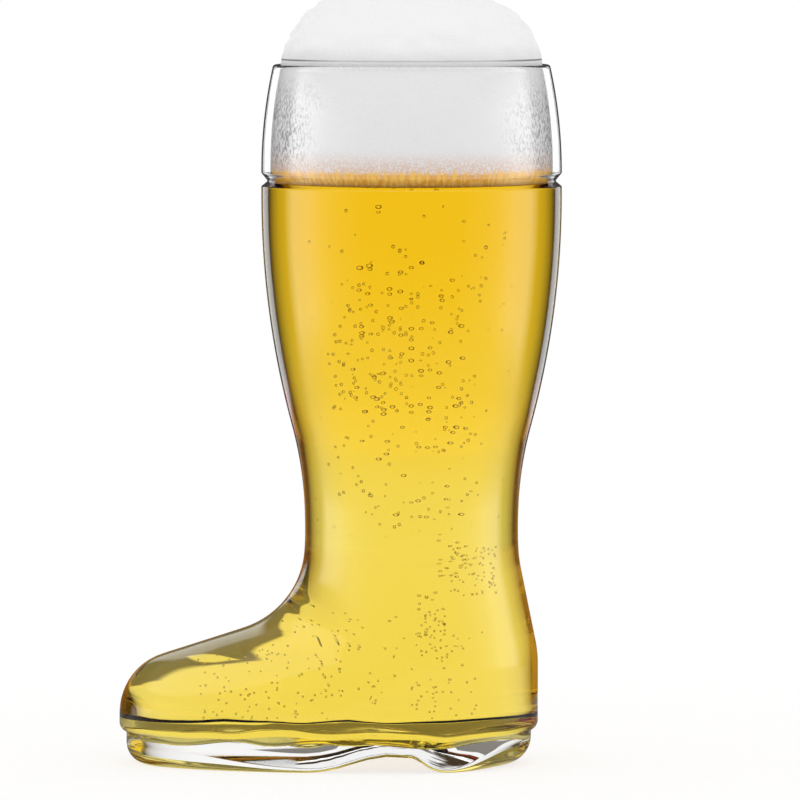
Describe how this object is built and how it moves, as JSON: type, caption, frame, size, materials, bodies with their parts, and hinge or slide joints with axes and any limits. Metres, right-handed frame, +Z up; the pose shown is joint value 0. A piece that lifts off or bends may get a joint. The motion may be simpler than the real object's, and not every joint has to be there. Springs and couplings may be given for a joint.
{
  "type": "beer boot glass",
  "caption": "Boot-shaped drinking glass with a grooved cuff, tapered shaft, rounded foot and thick arched sole, filled with pale beer under a high head of foam.",
  "frame": {"origin": "on the table plane, under the middle of the outline", "axes": "+Z up along the shaft, -X towards the toe, +X towards the heel, Y across the foot"},
  "size_m": [0.1474, 0.1, 0.2615],
  "materials": {
    "clear_glass": "gloss",
    "pale_beer": "gloss",
    "beer_foam": "matte"
  },
  "bodies": {
    "root": {"boot_glass": "clear_glass", "beer": "pale_beer", "foam_head": "beer_foam"}
  },
  "joints": []
}
